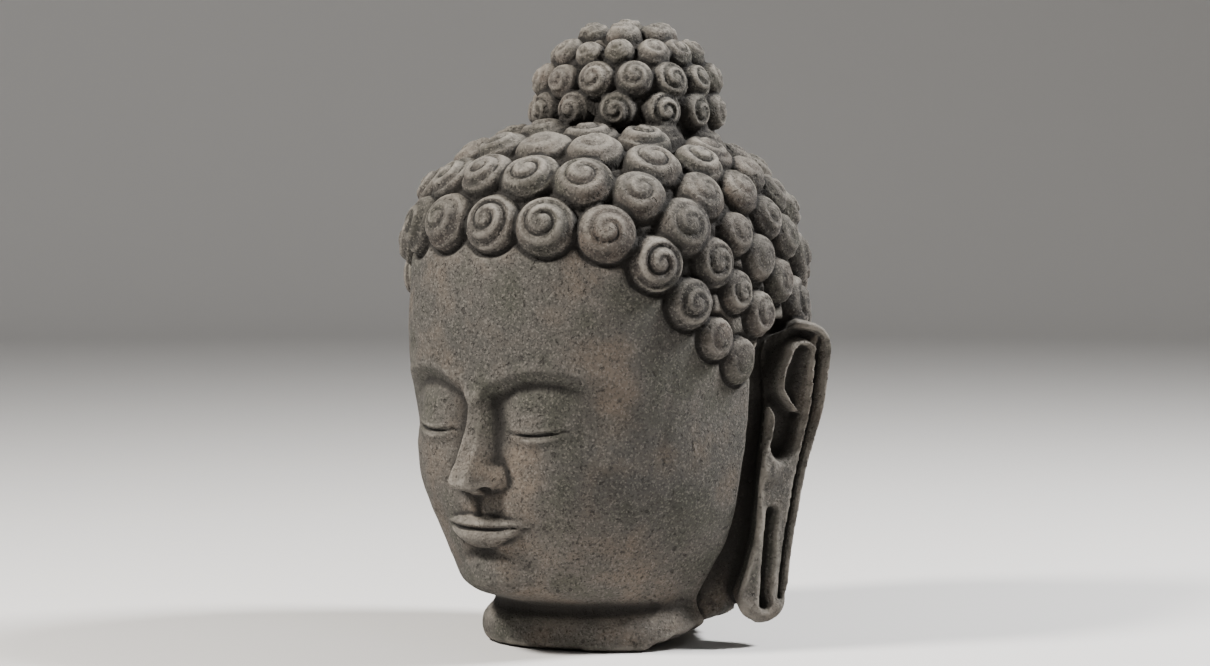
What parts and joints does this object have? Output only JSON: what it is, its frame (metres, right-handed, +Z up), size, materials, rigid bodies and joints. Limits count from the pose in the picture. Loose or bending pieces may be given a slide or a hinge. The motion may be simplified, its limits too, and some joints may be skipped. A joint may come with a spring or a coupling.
{
  "type": "stone buddha head",
  "caption": "Carved volcanic-stone Buddha head broken off at the neck, with snail-shell curls, a crown bun, long slit ear lobes and a flat neck seat.",
  "frame": {"origin": "middle of the flat neck seat, on the head's upright axis", "axes": "+Z up through the crown bun, -Y the way the face looks, +X to the head's own left"},
  "size_m": [0.232, 0.2571, 0.3475],
  "materials": {
    "andesite": "matt, fine-pitted dark grey-brown volcanic stone, paler and dusty on top, darker in the carving"
  },
  "bodies": {
    "root": {"buddha_head": "andesite"}
  },
  "joints": []
}
